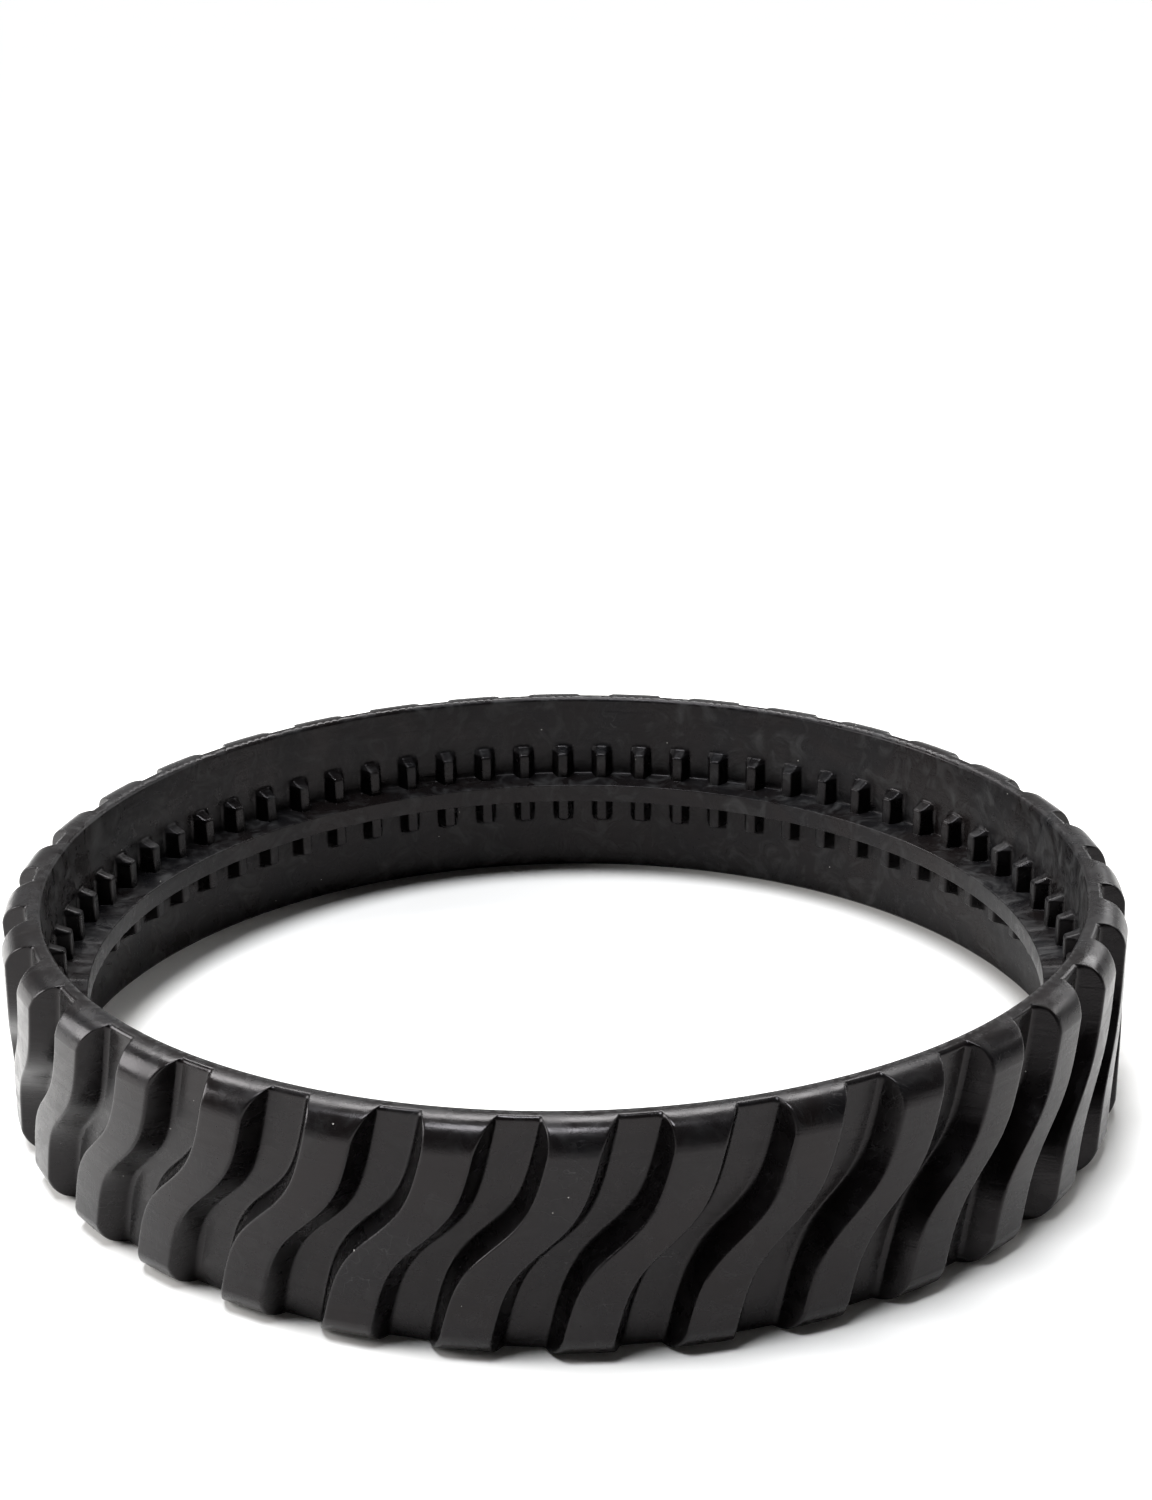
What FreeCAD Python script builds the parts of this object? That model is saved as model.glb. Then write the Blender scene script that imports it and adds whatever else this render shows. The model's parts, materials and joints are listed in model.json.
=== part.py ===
import FreeCAD, Part
import math
import os

# Moulded rubber track: an endless belt with S-shaped lugs outside, and a guide rib and drive
# teeth inside. It lies on one rim, so +Z is the belt's width and Z = 0 is the lower rim.
# The moulding bends everywhere. Here it is a loop of equal links, one lug pitch each, that turn
# on one another about upright axes in the middle of the belt. Millimetres and degrees.

# Driving dimensions
LUG_COUNT = 34                # lugs round the loop, and so also links
BELT_WIDTH = 52.0
INNER_RADIUS = 124.0          # inner surface of the belt when the track is a circle
BELT_THICKNESS = 3.5
LUG_HEIGHT = 6.0              # above the groove floor
LUG_TOP_SHARE = 0.41          # lug top along the loop, as a share of the pitch
LUG_WALL_RUN = 2.4            # how far each lug wall leans out from top to foot, square to it
LUG_PHASE = -0.15             # lug centre at mid-width, in pitches from the link's centre
RIB_THICKNESS = 5.5
RIB_HEIGHT = 9.0
RIB_EDGE = 0.6                # chamfer along the rib's crest
TEETH_PER_LINK = 2            # on each side of the rib
TOOTH_LENGTH = 8.0            # from the rib towards the rim
TOOTH_WIDTH = 4.8
TOOTH_HEIGHT = 4.0
TOOTH_ROUND = 1.0
INNER_RIM_BEVEL = 0.5
OUTER_RIM_BEVEL = 1.0         # along the rims of the groove floors
MAX_FOLD = 10.5               # largest turn of one link on the next, each way
HINGE_GAP = 0.15              # each link ends this far short of the hinge axis
FOLD_MARGIN = 0.25            # extra opening of each link's end face, degrees

# The S of a lug: how far it has moved round, in pitches, at a height along the width. It is a
# gentle lean at the rims and a steep diagonal in the middle, one whole pitch from rim to rim.
S_LEAN = 0.468                # share of the pitch that the straight lean covers
S_STEEP_LENGTH = 7.6          # half-length of the steep part, along the width
S_SLOPE_STEP = 0.5            # the S's slope is taken this far each side of a height
SECTION_COUNT = 15            # sections that each lug is lofted through

# Derived sizes
PITCH = 360.0 / LUG_COUNT
FLOOR_RADIUS = INNER_RADIUS + BELT_THICKNESS
TOP_RADIUS = FLOOR_RADIUS + LUG_HEIGHT
HINGE_RADIUS = INNER_RADIUS + BELT_THICKNESS / 2
CREST_RADIUS = INNER_RADIUS - RIB_HEIGHT
MID_WIDTH = BELT_WIDTH / 2
TOP_HALF_WIDTH = TOP_RADIUS * math.radians(PITCH) * LUG_TOP_SHARE / 2
OVERLAP = 1.0                 # how far ribs, teeth and lugs reach into the belt to join it
OVERRUN = 2.0                 # how far cutting tools run past what they cut
FIRST_JOINT_ANGLE = -45.0     # where link 1 starts, so that the loop flattens along X

Z_AXIS = FreeCAD.Vector(0, 0, 1)
CENTRE = FreeCAD.Vector(0, 0, 0)


def in_plan(radius, sideways, z):
    """A point of a link centred on +X: out along X, and sideways along Y."""
    return FreeCAD.Vector(radius, sideways, z)


def revolved(face, degrees):
    """A profile in the XZ plane swept round Z, equally to both sides of its plane."""
    swept = face.revolve(CENTRE, Z_AXIS, degrees)
    swept.rotate(CENTRE, Z_AXIS, -degrees / 2)
    return swept


def profile(points):
    """A face in the XZ plane through (radius, z) corners."""
    corners = [FreeCAD.Vector(radius, 0, z) for radius, z in points]
    return Part.Face(Part.makePolygon(corners + corners[:1]))


def belt_strip():
    """The plain belt, a little longer than a link, with bevelled rims."""
    points = [
        (INNER_RADIUS + INNER_RIM_BEVEL, 0), (FLOOR_RADIUS - OUTER_RIM_BEVEL, 0),
        (FLOOR_RADIUS, OUTER_RIM_BEVEL), (FLOOR_RADIUS, BELT_WIDTH - OUTER_RIM_BEVEL),
        (FLOOR_RADIUS - OUTER_RIM_BEVEL, BELT_WIDTH),
        (INNER_RADIUS + INNER_RIM_BEVEL, BELT_WIDTH),
        (INNER_RADIUS, BELT_WIDTH - INNER_RIM_BEVEL), (INNER_RADIUS, INNER_RIM_BEVEL),
    ]
    return revolved(profile(points), 2 * PITCH)


def rib_strip():
    """The guide rib along the middle of the inner surface."""
    low, high = MID_WIDTH - RIB_THICKNESS / 2, MID_WIDTH + RIB_THICKNESS / 2
    points = [
        (INNER_RADIUS + OVERLAP, low), (INNER_RADIUS + OVERLAP, high),
        (CREST_RADIUS + RIB_EDGE, high), (CREST_RADIUS, high - RIB_EDGE),
        (CREST_RADIUS, low + RIB_EDGE), (CREST_RADIUS + RIB_EDGE, low),
    ]
    return revolved(profile(points), 2 * PITCH)


def tooth(side, angle):
    """One drive tooth: a rounded bar across the belt from the rib, side +1 up or -1 down."""
    depth = TOOTH_HEIGHT + OVERLAP
    reach = RIB_THICKNESS / 2 + TOOTH_LENGTH
    bar = Part.makeBox(
        depth, TOOTH_WIDTH, reach,
        FreeCAD.Vector(INNER_RADIUS - TOOTH_HEIGHT, -TOOTH_WIDTH / 2, MID_WIDTH))
    crest = INNER_RADIUS - TOOTH_HEIGHT
    free_end = MID_WIDTH + reach

    def is_outer(edge):
        box = edge.BoundBox
        on_crest = abs(box.XMin - crest) < 1e-6 and abs(box.XMax - crest) < 1e-6
        at_end = abs(box.ZMin - free_end) < 1e-6
        at_root = box.ZMax - MID_WIDTH < 1e-6
        across_belt = abs(box.XMin - box.XMax) < 1e-6 and not on_crest
        return (on_crest or at_end) and not at_root and not across_belt

    bar = bar.makeFillet(TOOTH_ROUND, [edge for edge in bar.Edges if is_outer(edge)])
    if side < 0:
        bar = bar.mirror(FreeCAD.Vector(0, 0, MID_WIDTH), Z_AXIS)
    bar.rotate(CENTRE, Z_AXIS, angle)
    return bar


def s_shift(z):
    """The lug's position round the loop at height z, in pitches from its middle."""
    along = (z - MID_WIDTH) / MID_WIDTH
    steep = math.tanh((z - MID_WIDTH) / S_STEEP_LENGTH) / math.tanh(MID_WIDTH / S_STEEP_LENGTH)
    return 0.5 * (S_LEAN * along + (1 - S_LEAN) * steep)


def lug_section(z):
    """A lug's trapezoid section at height z, with its foot inside the belt."""
    foot_radius = FLOOR_RADIUS - OVERLAP
    moved = s_shift(z + S_SLOPE_STEP) - s_shift(z - S_SLOPE_STEP)
    slope = moved * math.radians(PITCH) * TOP_RADIUS / (2 * S_SLOPE_STEP)
    lean = LUG_WALL_RUN / LUG_HEIGHT * math.hypot(1, slope)
    top_radius = TOP_RADIUS + OVERRUN
    half_top = TOP_HALF_WIDTH - OVERRUN * lean
    half_foot = TOP_HALF_WIDTH + (LUG_HEIGHT + OVERLAP) * lean
    corners = [
        in_plan(foot_radius, -half_foot, z), in_plan(top_radius, -half_top, z),
        in_plan(top_radius, half_top, z), in_plan(foot_radius, half_foot, z),
    ]
    wire = Part.makePolygon(corners + corners[:1])
    wire.rotate(CENTRE, Z_AXIS, s_shift(z) * PITCH)
    return wire


def lug_envelope():
    """The outer surface that the lug tops lie in, rounded over towards both rims."""
    top_low = LUG_HEIGHT
    top_high = BELT_WIDTH - LUG_HEIGHT
    bulge = LUG_HEIGHT * math.sqrt(0.5)
    arc_mid_radius = FLOOR_RADIUS + bulge

    def point(radius, z):
        return FreeCAD.Vector(radius, 0, z)

    root = FLOOR_RADIUS - OVERLAP
    edges = [
        Part.makeLine(point(root, 0), point(FLOOR_RADIUS, 0)),
        Part.Arc(point(FLOOR_RADIUS, 0), point(arc_mid_radius, top_low - bulge),
                 point(TOP_RADIUS, top_low)).toShape(),
        Part.makeLine(point(TOP_RADIUS, top_low), point(TOP_RADIUS, top_high)),
        Part.Arc(point(TOP_RADIUS, top_high), point(arc_mid_radius, top_high + bulge),
                 point(FLOOR_RADIUS, BELT_WIDTH)).toShape(),
        Part.makeLine(point(FLOOR_RADIUS, BELT_WIDTH), point(root, BELT_WIDTH)),
        Part.makeLine(point(root, BELT_WIDTH), point(root, 0)),
    ]
    return revolved(Part.Face(Part.Wire(edges)), 4 * PITCH)


def lug():
    """One whole S-shaped lug, centred on +X at mid-width."""
    start, stop = -OVERRUN, BELT_WIDTH + OVERRUN
    step = (stop - start) / (SECTION_COUNT - 1)
    sections = [lug_section(start + step * index) for index in range(SECTION_COUNT)]
    return Part.makeLoft(sections, True, False).common(lug_envelope())


def link_cutter():
    """The plan of one link: it pinches in to the hinge axes and opens away from them."""
    half = math.radians(PITCH / 2)
    opening = math.tan(half + math.radians(MAX_FOLD / 2 + FOLD_MARGIN))
    hinge_x = HINGE_RADIUS * math.cos(half)
    hinge_y = HINGE_RADIUS * math.sin(half) - HINGE_GAP
    narrowing = math.tan(half - math.radians(MAX_FOLD / 2 + FOLD_MARGIN))
    inner_x = CREST_RADIUS - OVERRUN
    outer_x = TOP_RADIUS + OVERRUN
    inner_y = hinge_y - (hinge_x - inner_x) * opening
    outer_y = hinge_y + (outer_x - hinge_x) * narrowing
    side = [(inner_x, inner_y), (hinge_x, hinge_y), (outer_x, outer_y)]
    outline = side + [(x, -y) for x, y in reversed(side)]
    corners = [FreeCAD.Vector(x, y, -OVERRUN) for x, y in outline]
    face = Part.Face(Part.makePolygon(corners + corners[:1]))
    return face.extrude(FreeCAD.Vector(0, 0, BELT_WIDTH + 2 * OVERRUN))


def link():
    """One link of the track, centred on +X."""
    pieces = [rib_strip()]
    tooth_step = PITCH / TEETH_PER_LINK
    for index in range(TEETH_PER_LINK):
        angle = (index - (TEETH_PER_LINK - 1) / 2) * tooth_step
        pieces += [tooth(side, angle) for side in (-1, 1)]
    whole_lug = lug()
    for neighbour in (-1, 0, 1):
        turned = whole_lug.copy()
        turned.rotate(CENTRE, Z_AXIS, (LUG_PHASE + neighbour) * PITCH)
        pieces.append(turned)
    return belt_strip().fuse(pieces).common(link_cutter()).removeSplitter()


def main():
    os.makedirs("parts", exist_ok=True)
    base = link()
    for number in range(1, LUG_COUNT + 1):
        placed = base.copy()
        placed.rotate(CENTRE, Z_AXIS, FIRST_JOINT_ANGLE + (number - 0.5) * PITCH)
        placed.exportStep(f"parts/track_link_{number:02d}.step")
    box = base.BoundBox
    print("link valid", base.isValid(), "solids", len(base.Solids), "faces", len(base.Faces))
    print("volume mm3", round(base.Volume, 1), "loop volume mm3", round(base.Volume * LUG_COUNT))
    print("link box", round(box.XMin, 2), round(box.XMax, 2), round(box.ZMin, 2), round(box.ZMax, 2))


main()
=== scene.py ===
import json
import math

import bmesh
import bpy
from mathutils import Matrix, Vector

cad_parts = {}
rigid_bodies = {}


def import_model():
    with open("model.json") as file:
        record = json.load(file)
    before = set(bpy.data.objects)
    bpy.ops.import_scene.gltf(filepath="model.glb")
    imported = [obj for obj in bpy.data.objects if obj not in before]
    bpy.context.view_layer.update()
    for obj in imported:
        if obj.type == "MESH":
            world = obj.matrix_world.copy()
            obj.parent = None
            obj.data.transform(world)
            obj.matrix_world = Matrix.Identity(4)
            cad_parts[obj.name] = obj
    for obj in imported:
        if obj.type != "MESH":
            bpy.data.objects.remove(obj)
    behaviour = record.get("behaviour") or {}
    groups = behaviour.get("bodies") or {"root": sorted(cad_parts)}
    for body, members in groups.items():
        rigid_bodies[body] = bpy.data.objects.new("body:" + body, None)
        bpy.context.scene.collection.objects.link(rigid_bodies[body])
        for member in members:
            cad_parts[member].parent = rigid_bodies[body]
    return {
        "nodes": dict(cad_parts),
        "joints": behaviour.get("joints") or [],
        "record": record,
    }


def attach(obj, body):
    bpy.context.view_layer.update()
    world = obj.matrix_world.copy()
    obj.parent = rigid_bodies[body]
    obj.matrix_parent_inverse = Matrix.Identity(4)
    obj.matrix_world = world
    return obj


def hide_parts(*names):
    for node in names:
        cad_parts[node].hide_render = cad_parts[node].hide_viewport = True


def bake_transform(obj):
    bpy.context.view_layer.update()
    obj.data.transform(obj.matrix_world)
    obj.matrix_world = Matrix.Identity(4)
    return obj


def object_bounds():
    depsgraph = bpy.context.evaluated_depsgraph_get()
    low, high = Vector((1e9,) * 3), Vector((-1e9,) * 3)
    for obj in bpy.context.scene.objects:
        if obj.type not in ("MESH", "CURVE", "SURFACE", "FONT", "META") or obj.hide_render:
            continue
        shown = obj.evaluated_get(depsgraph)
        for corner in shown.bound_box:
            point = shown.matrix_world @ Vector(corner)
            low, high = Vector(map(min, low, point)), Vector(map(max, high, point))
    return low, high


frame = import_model()
cad_low, cad_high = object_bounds()

# A moulded rubber track lying on one rim. The moulding is made once, one pitch long and centred
# on a hinge, and copied round the loop. Each copy lies across the hinge between the two links that
# it joins.
# Metres and radians.

# Sizes taken from the frame
LINKS = len(frame["nodes"])
PITCH = math.tau / LINKS
BELT_WIDTH = cad_high.z - cad_low.z
TOP_RADIUS = (cad_high.x - cad_low.x) / 2
HINGES = {joint["name"]: Vector(joint["pos_m"]) for joint in frame["joints"]}
FIRST_ANGLE = math.atan2(HINGES["bend_01_02"].y, HINGES["bend_01_02"].x) - PITCH

# Tread
LUG_HEIGHT = 0.006
FLOOR_RADIUS = TOP_RADIUS - LUG_HEIGHT
LUG_TOP_SHARE = 0.41
LUG_WALL_RUN = 0.0024
LUG_PHASE = -0.15
LUG_EDGE_ROUND = 0.0006
LUG_FOOT_FILLET = 0.0010
LEAST_RISE = 0.00015          # a lug's wall keeps at least this height, even at the rim
WALL_SHARE = 0.4              # most of a wall's length that one rounding takes up
S_LEAN = 0.468
S_STEEP_LENGTH = 0.0076
S_SLOPE_STEP = 0.0005         # the S's slope is taken this far each side of a height
RIM_ROUND = 0.0010
SHOULDER_LENGTH = 0.0057      # each lug's end curves down over this length, with a soft crease
SHOULDER_ARC = 0.0072         # half-axis along the width of the ellipse that it follows
HALF_TOP = TOP_RADIUS * PITCH * LUG_TOP_SHARE / 2
HALF_PITCH = FLOOR_RADIUS * PITCH / 2

# Inside
BELT_THICKNESS = 0.0035
INNER_RADIUS = FLOOR_RADIUS - BELT_THICKNESS
INNER_BEVEL = 0.0007
RIB_HALF = 0.00275
RIB_HEIGHT = 0.009
RIB_DRAFT, RIB_EDGE_ROUND, RIB_FILLET = 0.0005, 0.0003, 0.0009
TEETH_PER_PITCH = 2
TOOTH_HALF = 0.00215
TOOTH_REACH = RIB_HALF + 0.008
TOOTH_HEIGHT = 0.004
TOOTH_CORNER = 0.0013
TOOTH_DRAFT, TOOTH_EDGE_ROUND, TOOTH_FILLET = 0.0014, 0.0006, 0.0008
JOIN_FILLET = 0.0007          # where a tooth runs into the rib

# How finely the surfaces are divided
ROUND_STEPS = 4
RIM_STEPS = 4
SHOULDER_STEPS = 9
CREASE = 0.0003
WIDTH_STEPS = 28
COLUMN_MARGIN = 0.0004        # from a tooth's foot to the next column of points
ROW_MARGIN = 0.0006           # from a rib's or tooth's edge to the next row of points
BEVEL_MARGIN = 0.0004
CELLS = 4                     # pitches that the strip covers before it is cut to one
CUT_TOLERANCE = 1e-8


def spread(start, stop, steps):
    """steps values from start up to, but without, stop."""
    return [start + (stop - start) * step / steps for step in range(steps)]


def rounded(before, corner, after):
    """Points round a corner, from the point before it to the point after it."""
    points = []
    for step in range(ROUND_STEPS + 1):
        t = step / ROUND_STEPS
        points.append(before.lerp(corner, t).lerp(corner.lerp(after, t), t))
    return points


# ---- Tread: the outer surface ----

def s_shift(z):
    """How far a lug has moved round at height z, in pitches from its middle."""
    half = BELT_WIDTH / 2
    steep = math.tanh((z - half) / S_STEEP_LENGTH) / math.tanh(half / S_STEEP_LENGTH)
    return 0.5 * (S_LEAN * (z - half) / half + (1 - S_LEAN) * steep)


def wall_lean(z):
    """How far round a lug's wall moves for each unit of height: more where the lug is diagonal."""
    moved = s_shift(z + S_SLOPE_STEP) - s_shift(z - S_SLOPE_STEP)
    across = moved / (2 * S_SLOPE_STEP) * PITCH * TOP_RADIUS
    return LUG_WALL_RUN / LUG_HEIGHT * math.hypot(1, across)


def half_tread(rise, lean):
    """(along, height) points from a lug's middle to the middle of the next groove."""
    edge = Vector((HALF_TOP + (LUG_HEIGHT - max(rise, LEAST_RISE)) * lean, rise))
    foot = Vector((HALF_TOP + LUG_HEIGHT * lean, 0))
    wall = foot - edge
    top_cut = min(LUG_EDGE_ROUND, WALL_SHARE * wall.length)
    foot_cut = min(LUG_FOOT_FILLET, WALL_SHARE * wall.length)
    down = wall.normalized()
    along = Vector((1, 0))
    top_start, floor_start = edge - along * top_cut, foot + along * foot_cut
    points = [Vector((x, rise)) for x in spread(0, top_start.x - top_cut, 3)]
    points.append(top_start - along * top_cut)
    points += rounded(top_start, edge, edge + down * top_cut)
    points.append((edge + foot) / 2)
    points += rounded(foot - down * foot_cut, foot, floor_start)
    points += [Vector((x, 0)) for x in spread(floor_start.x + foot_cut, HALF_PITCH, 2)]
    return points


def tread_heights():
    """The heights along the width at which the tread has a row of points."""
    low = [RIM_ROUND * (1 - math.cos(a)) for a in spread(0, math.pi / 2, RIM_STEPS)]
    first = math.acos(1 - RIM_ROUND / SHOULDER_ARC)
    last = math.acos(1 - SHOULDER_LENGTH / SHOULDER_ARC)
    low += [SHOULDER_ARC * (1 - math.cos(a)) for a in spread(first, last, SHOULDER_STEPS)]
    low += [SHOULDER_LENGTH, SHOULDER_LENGTH + CREASE]
    middle = spread(low[-1], BELT_WIDTH - low[-1], WIDTH_STEPS)
    return low[:-1] + middle + [BELT_WIDTH - z for z in low[::-1]]


def lug_rise(from_rim):
    """The height of a lug's top above the groove floor, at a distance from the nearer rim."""
    def ellipse(distance):
        return math.sqrt(1 - (1 - distance / SHOULDER_ARC) ** 2)

    return LUG_HEIGHT * ellipse(min(from_rim, SHOULDER_LENGTH)) / ellipse(SHOULDER_LENGTH)


def tread_row(z):
    """One row of the tread, at height z, over all the cells."""
    from_rim = min(z, BELT_WIDTH - z)
    rise = lug_rise(from_rim)
    rim = RIM_ROUND - min(from_rim, RIM_ROUND)
    floor = FLOOR_RADIUS - RIM_ROUND + math.sqrt(RIM_ROUND ** 2 - rim ** 2)
    half = half_tread(rise, wall_lean(z))
    profile = [Vector((-p.x, p.y)) for p in half[:0:-1]] + half
    row = []
    for cell in range(-CELLS // 2, CELLS // 2):
        centre = (0.5 + LUG_PHASE + cell + s_shift(z)) * PITCH
        for along, height in profile:
            angle = centre + along / (FLOOR_RADIUS + height)
            radius = floor + height
            row.append((radius * math.cos(angle), radius * math.sin(angle), z))
    return row


# ---- Inside: belt, guide rib and drive teeth ----

def wall_profile(height, draft, edge_round, fillet):
    """(distance outward, height) points down a moulded wall whose middle is at distance 0."""
    top, foot = Vector((-draft / 2, height)), Vector((draft / 2, 0))
    down = (foot - top).normalized()
    along = Vector((1, 0))
    points = rounded(top - along * edge_round, top, top + down * edge_round)
    points += rounded(foot - down * fillet, foot, foot + along * fillet)
    return points


TOOTH_WALL = wall_profile(TOOTH_HEIGHT, TOOTH_DRAFT, TOOTH_EDGE_ROUND, TOOTH_FILLET)
RIB_WALL = wall_profile(RIB_HEIGHT, RIB_DRAFT, RIB_EDGE_ROUND, RIB_FILLET)


def height_at(distance, wall):
    """The height of a wall's surface at a distance outward from the wall's middle."""
    if distance <= wall[0].x:
        return wall[0].y
    for one, two in zip(wall, wall[1:]):
        if distance <= two.x:
            share = (distance - one.x) / max(two.x - one.x, 1e-9)
            return one.y + (two.y - one.y) * share
    return 0.0


def joined(one, two):
    """The greater of two heights, with a small fillet where two raised surfaces meet."""
    reach = min(JOIN_FILLET, 2 * min(one, two))
    if reach <= 0:
        return max(one, two)
    closeness = max(reach - abs(one - two), 0) / reach
    return max(one, two) + closeness * closeness * reach / 4


def inner_height(along, z):
    """How far the rib and teeth stand in from the belt; along is measured from a tooth."""
    from_middle = abs(z - BELT_WIDTH / 2)
    rib = height_at(from_middle - RIB_HALF, RIB_WALL)
    corner_along = abs(along) - TOOTH_HALF + TOOTH_CORNER
    corner_out = from_middle - TOOTH_REACH + TOOTH_CORNER
    outside = math.hypot(max(corner_along, 0), max(corner_out, 0))
    inside = min(max(corner_along, corner_out), 0)
    tooth = height_at(outside + inside - TOOTH_CORNER, TOOTH_WALL)
    return joined(rib, tooth)


def tooth_columns():
    """Places along the loop, from one tooth's middle, for one tooth and half a gap each side."""
    half_step = INNER_RADIUS * PITCH / TEETH_PER_PITCH / 2
    wall = [TOOTH_HALF + point.x for point in TOOTH_WALL]
    side = spread(0, wall[0], 2)[1:] + wall
    side += spread(wall[-1] + COLUMN_MARGIN, half_step, 2)
    return [-x for x in side[::-1]] + [0] + side


def inner_heights():
    """The heights along the width at which the inner surface has a row of points."""
    rib = [RIB_HALF + point.x for point in RIB_WALL]
    tooth = [TOOTH_REACH + point.x for point in TOOTH_WALL]
    middle = BELT_WIDTH / 2
    tooth_row, bevel = tooth[0] - ROW_MARGIN, middle - INNER_BEVEL
    half = [0] + rib
    half += spread(rib[-1] + ROW_MARGIN, tooth_row, 4) + [tooth_row] + tooth
    half += spread(tooth[-1] + ROW_MARGIN, bevel - BEVEL_MARGIN, 5)
    half += [bevel - BEVEL_MARGIN, bevel, middle]
    return [middle - x for x in half[:0:-1]] + [middle + x for x in half]


def inner_row(z, columns):
    """One row of the inner surface, at height z, over all the cells."""
    bevel = max(INNER_BEVEL - min(z, BELT_WIDTH - z), 0)
    row = []
    for tooth in range(-CELLS, CELLS):
        centre = (tooth + 0.5) * PITCH / TEETH_PER_PITCH
        for along in columns:
            angle = centre + along / INNER_RADIUS
            radius = INNER_RADIUS + bevel - inner_height(along, z)
            row.append((radius * math.cos(angle), radius * math.sin(angle), z))
    return row


# ---- The moulding, one pitch long ----

OUTSIDE, INSIDE = 0, 1        # material slots


def add_grid(mesh, rows, material):
    """Quads between rows of points; returns the vertices, row by row."""
    made = [[mesh.verts.new(point) for point in row] for row in rows]
    for low, high in zip(made, made[1:]):
        for corners in zip(low, low[1:], high[1:], high):
            mesh.faces.new(corners).material_index = material
    return made


def zip_rows(mesh, one, two):
    """Triangles that close a rim between the tread's edge and the inner surface's edge."""
    def angle(vertex):
        return math.atan2(vertex.co.y, vertex.co.x)

    one, two = list(one), list(two)
    while len(one) > 1 or len(two) > 1:
        if len(two) == 1 or (len(one) > 1 and angle(one[1]) <= angle(two[1])):
            mesh.faces.new((one[0], one[1], two[0]))
            one.pop(0)
        else:
            mesh.faces.new((one[0], two[1], two[0]))
            two.pop(0)


def cut_to_pitch(mesh):
    """Cuts the strip at half a pitch each side of +X and closes the two ends."""
    ends = []
    for side in (-1, 1):
        angle = side * PITCH / 2
        outward = Vector((-math.sin(angle), math.cos(angle), 0)) * side
        cut = bmesh.ops.bisect_plane(
            mesh, geom=mesh.verts[:] + mesh.edges[:] + mesh.faces[:], dist=CUT_TOLERANCE,
            plane_co=(0, 0, 0), plane_no=outward, clear_outer=True)
        ends.append([part for part in cut["geom_cut"] if isinstance(part, bmesh.types.BMEdge)])
    for edges in ends:
        bmesh.ops.contextual_create(mesh, geom=[edge for edge in edges if edge.is_valid])


def moulding():
    """The whole section of the track, one pitch long, centred on +X."""
    mesh = bmesh.new()
    tread = add_grid(mesh, [tread_row(z) for z in tread_heights()], OUTSIDE)
    columns = tooth_columns()
    inside = add_grid(mesh, [inner_row(z, columns) for z in inner_heights()], INSIDE)
    zip_rows(mesh, tread[0], inside[0])
    zip_rows(mesh, tread[-1], inside[-1])
    bmesh.ops.recalc_face_normals(mesh, faces=mesh.faces)
    if mesh.faces[0].normal.dot(mesh.faces[0].calc_center_median()) < 0:
        bmesh.ops.reverse_faces(mesh, faces=mesh.faces)
    remember_surface(mesh)
    cut_to_pitch(mesh)
    bmesh.ops.recalc_face_normals(mesh, faces=mesh.faces)
    return mesh


def remember_surface(mesh):
    """Keeps each point's normal, and how steep the surface is (which sets the walls' painted
    shade), from before the strip is cut.
    """
    normals = mesh.verts.layers.float_vector.new("uncut_normal")
    steepness = mesh.verts.layers.float.new("steepness")
    for vertex in mesh.verts:
        total = sum((face.normal * face.calc_area() for face in vertex.link_faces), Vector())
        normal = total.normalized()
        along = Vector((-vertex.co.y, vertex.co.x, 0)).normalized()
        vertex[normals] = normal
        vertex[steepness] = abs(normal.dot(along))


def finished(mesh):
    """The mesh, shaded with the normals kept from before the cut, so that no cut shows."""
    kept = mesh.verts.layers.float_vector["uncut_normal"]
    normals = [vertex[kept].normalized() for vertex in mesh.verts]
    mesh.verts.layers.float_vector.remove(kept)
    for face in mesh.faces:
        face.smooth = True
    data = bpy.data.meshes.new("track_section")
    mesh.to_mesh(data)
    mesh.free()
    data.normals_split_custom_set_from_vertices(normals)
    return data


JOINED = {frozenset((joint["parent"], joint["child"])) for joint in frame["joints"]}


def turned(angle):
    """A rotation about +Z that takes +X to the angle."""
    return Vector((1, 0, 0)).rotation_difference(Vector((math.cos(angle), math.sin(angle), 0)))


def body_of_link(number):
    """The body that holds a link; links are numbered from 1, and the loop closes."""
    node = f"track_link_{(number - 1) % LINKS + 1:02d}"
    bodies = frame["record"]["behaviour"]["bodies"]
    return next(name for name, nodes in bodies.items() if node in nodes)


def place_section(base, number, materials):
    """The section between link number and the next one; it follows the first link where no joint
    joins them.
    """
    angle = FIRST_ANGLE + number * PITCH
    data = base.copy()
    data.transform(turned(angle).to_matrix().to_4x4())
    remember_rest(data)
    piece = bpy.data.objects.new(f"track_section_{number % LINKS + 1:02d}", data)
    bpy.context.collection.objects.link(piece)
    for material in materials:
        data.materials.append(material)
    one, two = body_of_link(number), body_of_link(number + 1)
    if frozenset((one, two)) in JOINED:
        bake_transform(piece)
    else:
        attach(piece, one)
    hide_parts(f"track_link_{number % LINKS + 1:02d}")


def remember_rest(data):
    """Stores each point's place at rest, so that the material doesn't slide as the track bends."""
    rest = data.attributes.new("rest_place", "FLOAT_VECTOR", "POINT")
    for vertex in data.vertices:
        rest.data[vertex.index].vector = vertex.co


# ---- Materials ----

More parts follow.
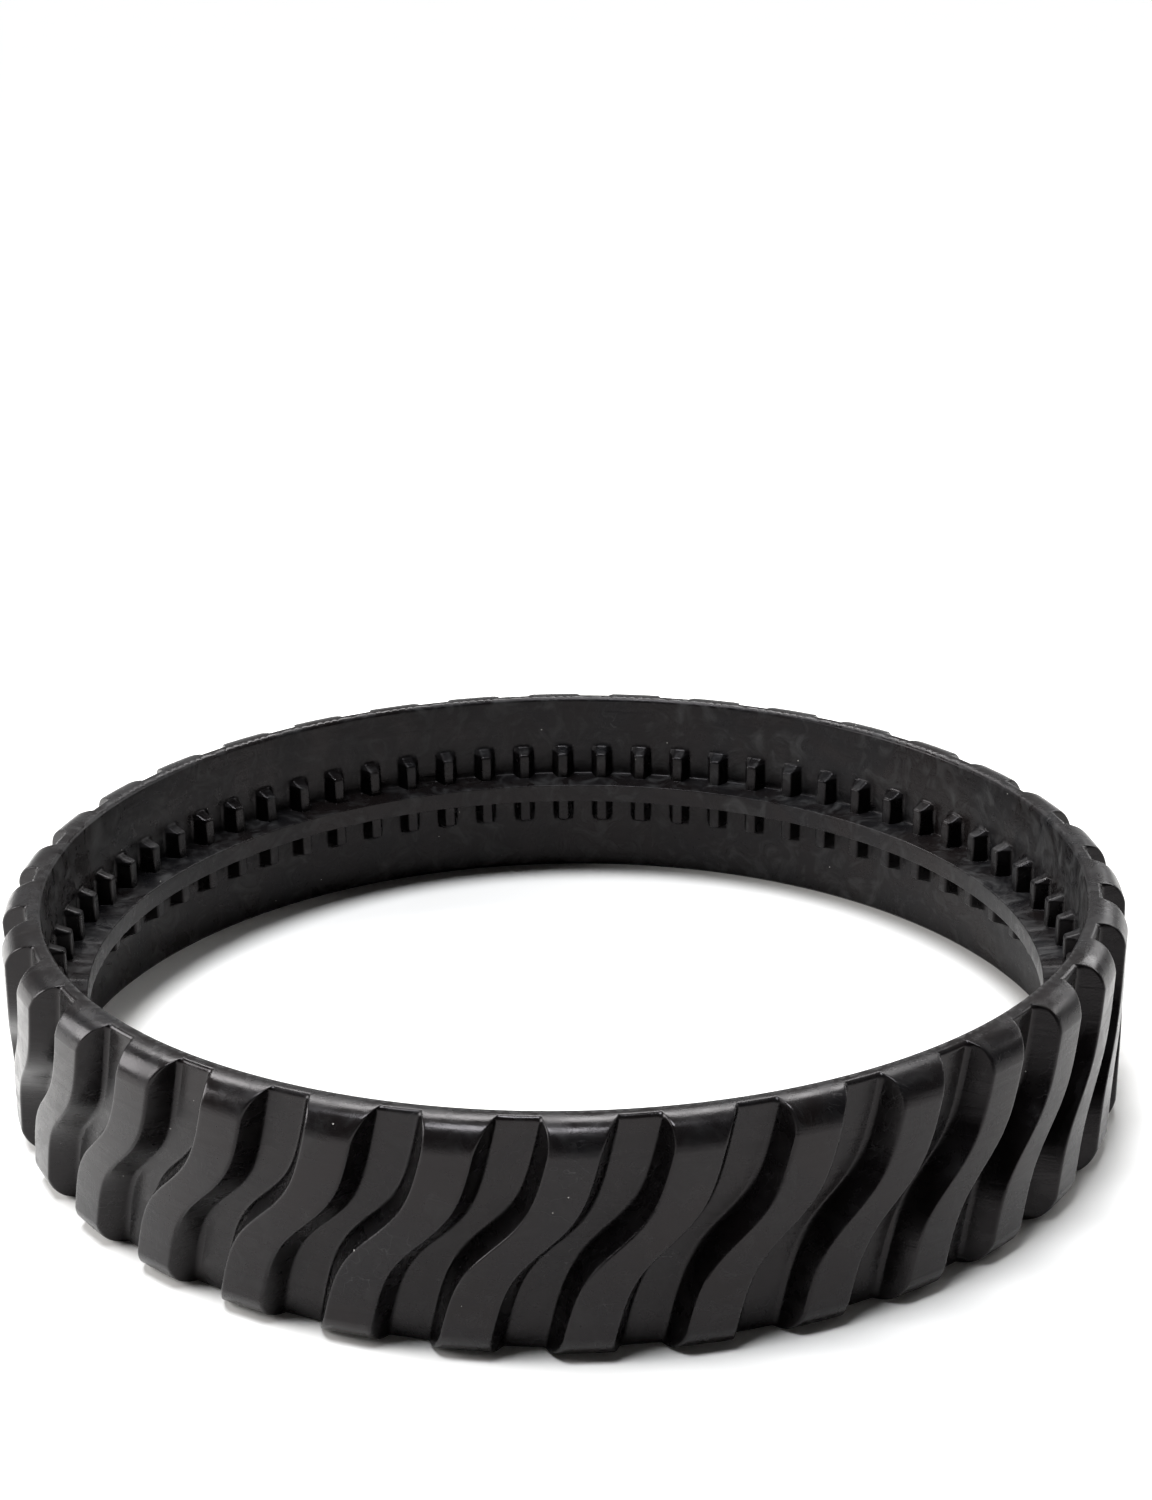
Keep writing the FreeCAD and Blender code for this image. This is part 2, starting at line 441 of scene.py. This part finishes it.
class Nodes:
    """Short calls for building a material's node tree."""

    def __init__(self, name):
        self.material = bpy.data.materials.new(name)
        self.material.use_nodes = True
        self.tree = self.material.node_tree
        self.shader = self.tree.nodes["Principled BSDF"]

    def add(self, kind, inputs=None, **settings):
        node = self.tree.nodes.new(kind)
        for key, value in settings.items():
            setattr(node, key, value)
        for key, value in (inputs or {}).items():
            self.put(value, node.inputs[key])
        return node

    def put(self, value, socket):
        if isinstance(value, bpy.types.NodeSocket):
            self.tree.links.new(value, socket)
        else:
            socket.default_value = value

    def noise(self, place, scale, detail=3.0, roughness=0.5, distortion=0.0):
        inputs = {"Vector": place, "Scale": scale, "Detail": detail,
                  "Roughness": roughness, "Distortion": distortion}
        return self.add("ShaderNodeTexNoise", inputs).outputs["Fac"]

    def stretched(self, place, scale, turn=(0, 0, 0)):
        inputs = {"Vector": place, "Scale": scale, "Rotation": turn}
        return self.add("ShaderNodeMapping", inputs).outputs["Vector"]

    def remap(self, value, low, high, to_low=0.0, to_high=1.0):
        inputs = {"Value": value, "From Min": low, "From Max": high,
                  "To Min": to_low, "To Max": to_high}
        return self.add("ShaderNodeMapRange", inputs, clamp=True).outputs["Result"]

    def maths(self, operation, one, two=0.0):
        return self.add("ShaderNodeMath", {0: one, 1: two}, operation=operation).outputs[0]

    def mix(self, share, one, two):
        node = self.add("ShaderNodeMix", data_type="RGBA")
        self.put(share, node.inputs[0])
        self.put(one, node.inputs[6])
        self.put(two, node.inputs[7])
        return node.outputs[2]

    def bump(self, height, distance, normal=None):
        node = self.add("ShaderNodeBump", {"Height": height, "Distance": distance})
        if normal is not None:
            self.put(normal, node.inputs["Normal"])
        return node.outputs["Normal"]


WARM_BLACK, COOL_BLACK = (0.0062, 0.0048, 0.0047, 1), (0.0050, 0.0050, 0.0056, 1)
# Painted shade: a near-black colour for steep walls, standing in for the shade in the narrow
# grooves.
WALL_PAINTED_SHADE = (0.0015, 0.0012, 0.0013, 1)
SCRATCH_GREY, DUST_GREY = (0.08, 0.08, 0.08, 1), (0.35, 0.34, 0.32, 1)
PALE_ONE, PALE_TWO = (0.93, 0.91, 0.88, 1), (0.95, 0.93, 0.90, 1)


def rubber(name, specular, least_rough, most_rough, smudge_tone):
    """Black moulded rubber: satin faces, walls darkened as painted shade, cloudy patches, hair
    scratches, dust.
    """
    n = Nodes(name)
    place = n.add("ShaderNodeAttribute", attribute_name="rest_place").outputs["Vector"]
    steep = n.add("ShaderNodeAttribute", attribute_name="steepness").outputs["Fac"]
    # Mask for the painted shade: the steeper the surface, the more of the near-black wall colour it
    # gets.
    wall = n.remap(steep, 0.25, 0.75)

    clouds = n.noise(place, 30, 4, 0.55, 1.5)
    smudges = n.noise(place, 120, 6, 0.62, 1.6)
    grain = n.noise(place, 2200, 2, 0.6)
    flow = n.noise(n.stretched(place, (45, 45, 300)), 1.0, 4, 0.55, 0.8)
    hairs = n.noise(n.stretched(place, (150, 900, 260), (0.4, 0.7, 0.2)), 1.0, 2, 0.4)
    scratch = n.remap(n.maths("ABSOLUTE", n.maths("SUBTRACT", hairs, 0.5)), 0.0, 0.006, 1.0, 0.0)
    scratch = n.maths("MULTIPLY", scratch, n.remap(clouds, 0.52, 0.64))

    cells = n.add("ShaderNodeTexVoronoi", {"Vector": place, "Scale": 330.0})
    chance = n.add("ShaderNodeSeparateColor", {"Color": cells.outputs["Color"]}).outputs[0]
    size = n.remap(chance, 0.90, 1.0, 0.0, 0.07)
    speck = n.maths("LESS_THAN", cells.outputs["Distance"], size)

    face = n.mix(n.remap(clouds, 0.35, 0.65), WARM_BLACK, COOL_BLACK)
    face = n.mix(n.remap(smudges, 0.50, 0.78), face, (smudge_tone, smudge_tone, smudge_tone, 1))
    # Painted shade: steep walls are darkened towards near black.
    colour = n.mix(wall, face, WALL_PAINTED_SHADE)
    colour = n.mix(n.maths("MULTIPLY", scratch, 0.35), colour, SCRATCH_GREY)
    colour = n.mix(speck, colour, DUST_GREY)
    n.put(colour, n.shader.inputs["Base Color"])

    rough = n.remap(smudges, 0.3, 0.7, least_rough, most_rough)
    rough = n.maths("ADD", rough, n.remap(clouds, 0.42, 0.50, -0.03, 0.04))
    rough = n.maths("ADD", rough, n.remap(flow, 0.3, 0.7, -0.04, 0.04))
    n.put(rough, n.shader.inputs["Roughness"])

    normal = n.bump(grain, 0.00002)
    normal = n.bump(flow, 0.00010, normal)
    normal = n.bump(scratch, 0.00002, normal)
    n.put(normal, n.shader.inputs["Normal"])
    n.shader.inputs["IOR"].default_value = 1.5
    n.shader.inputs["Specular IOR Level"].default_value = specular
    n.shader.inputs["Specular Tint"].default_value = (1.0, 0.94, 0.96, 1)
    return n.material


def floor_material():
    """A white, faintly uneven studio floor."""
    n = Nodes("pale_floor")
    place = n.add("ShaderNodeTexCoord").outputs["Object"]
    tone = n.noise(place, 6, 4)
    n.put(n.mix(tone, PALE_ONE, PALE_TWO), n.shader.inputs["Base Color"])
    n.put(n.remap(n.noise(place, 90, 4), 0.3, 0.7, 0.55, 0.65), n.shader.inputs["Roughness"])
    return n.material


# ---- Stage, light and camera ----

FLOOR_SIZE = 60.0
CAMERA_PLACE = Vector((0, -10.53, 5.38)) * BELT_WIDTH
CAMERA_PITCH, CAMERA_ROLL, CAMERA_YAW = map(math.radians, (19.95, -0.65, 0.33))
LENS, SENSOR = 58.9, 36.0     # millimetres


def add_floor():
    bpy.ops.mesh.primitive_plane_add(size=FLOOR_SIZE, location=(0, 0, cad_low.z))
    floor = bpy.context.active_object
    floor.name = "floor"
    floor.data.materials.append(floor_material())


def add_light(name, place, target, width, height, power):
    lamp = bpy.data.lights.new(name, "AREA")
    lamp.shape = "RECTANGLE"
    lamp.size, lamp.size_y = width, height
    lamp.energy = power
    shown = bpy.data.objects.new(name, lamp)
    shown.location = place
    shown.rotation_euler = (Vector(target) - Vector(place)).to_track_quat("-Z", "Y").to_euler()
    bpy.context.collection.objects.link(shown)


def add_sky(name, direction, spread_degrees, strength, colour):
    """A wide soft light that falls evenly on the whole floor from a direction."""
    lamp = bpy.data.lights.new(name, "SUN")
    lamp.energy = strength
    lamp.color = colour
    lamp.angle = math.radians(spread_degrees)
    shown = bpy.data.objects.new(name, lamp)
    shown.rotation_euler = Vector(direction).to_track_quat("Z", "Y").to_euler()
    bpy.context.collection.objects.link(shown)


HORIZON, FRONT_SKY, BACK_SKY = 0.95, 0.015, 0.30
SUN = {"direction": (-0.14, -0.06, 1), "degrees": 24, "strength": 3.45, "colour": (0.93, 0.96, 1.0)}
# name, place, point that it faces, width, height and power in watts
SOFTBOXES = (
    ("back_softbox", (-0.1, 0.75, 0.95), (0, -0.1, 0.03), 0.9, 0.30, 12),
    ("left_softbox", (-0.95, 0.05, 0.45), (0, 0, 0.03), 0.6, 0.5, 11),
    ("right_strip", (0.75, 0.55, 0.50), (0.05, 0, 0.03), 0.9, 0.14, 3),
)


def add_world():
    """Pale near the horizon, dim above it at the back, and dark above it in front."""
    world = bpy.data.worlds.new("studio")
    world.use_nodes = True
    tree = world.node_tree
    place = tree.nodes.new("ShaderNodeTexCoord")
    parts = tree.nodes.new("ShaderNodeSeparateXYZ")
    tree.links.new(place.outputs["Generated"], parts.inputs["Vector"])

    def graded(axis, low, high, to_low, to_high):
        node = tree.nodes.new("ShaderNodeMapRange")
        tree.links.new(parts.outputs[axis], node.inputs["Value"])
        settings = {"From Min": low, "From Max": high, "To Min": to_low, "To Max": to_high}
        for key, value in settings.items():
            node.inputs[key].default_value = value
        return node

    upper = graded("Y", -0.3, 0.5, FRONT_SKY, BACK_SKY)
    strength = graded("Z", 0.06, 0.20, HORIZON, 0.0)
    tree.links.new(upper.outputs["Result"], strength.inputs["To Max"])
    tree.links.new(strength.outputs["Result"], tree.nodes["Background"].inputs["Strength"])
    tree.nodes["Background"].inputs["Color"].default_value = (1.0, 1.0, 1.0, 1)
    bpy.context.scene.world = world


def add_lights():
    add_sky("overhead_softbox", SUN["direction"], SUN["degrees"], SUN["strength"], SUN["colour"])
    for softbox in SOFTBOXES:
        add_light(*softbox)
    add_world()
    bpy.context.scene.view_settings.view_transform = "Standard"


def add_camera():
    """A camera in front of the track and above it, looking down at about 20 degrees."""
    lens = bpy.data.cameras.new("camera")
    lens.lens = LENS
    lens.sensor_width = SENSOR
    lens.clip_start, lens.clip_end = 0.01, 20.0
    camera = bpy.data.objects.new("camera", lens)
    level = math.cos(CAMERA_PITCH)
    ahead = Vector((math.sin(CAMERA_YAW) * level, math.cos(CAMERA_YAW) * level,
                    -math.sin(CAMERA_PITCH)))
    right = Vector((math.cos(CAMERA_YAW), -math.sin(CAMERA_YAW), 0))
    up = right.cross(ahead)
    right, up = (right * math.cos(CAMERA_ROLL) + up * math.sin(CAMERA_ROLL),
                 up * math.cos(CAMERA_ROLL) - right * math.sin(CAMERA_ROLL))
    axes = Matrix((right, up, -ahead)).transposed().to_4x4()
    camera.matrix_world = Matrix.Translation(CAMERA_PLACE) @ axes
    bpy.context.collection.objects.link(camera)
    bpy.context.scene.camera = camera


# ---- Making the scene ----

def main():
    add_camera()
    base = finished(moulding())
    # The inside material's lower specular level is painted shade: it darkens the inside of the
    # loop.
    materials = [rubber("tread_rubber", 0.23, 0.18, 0.32, 0.012),
                 rubber("inner_rubber_painted_shade", 0.15, 0.16, 0.48, 0.036)]
    for number in range(LINKS):
        place_section(base, number, materials)
    add_floor()
    add_lights()


main()
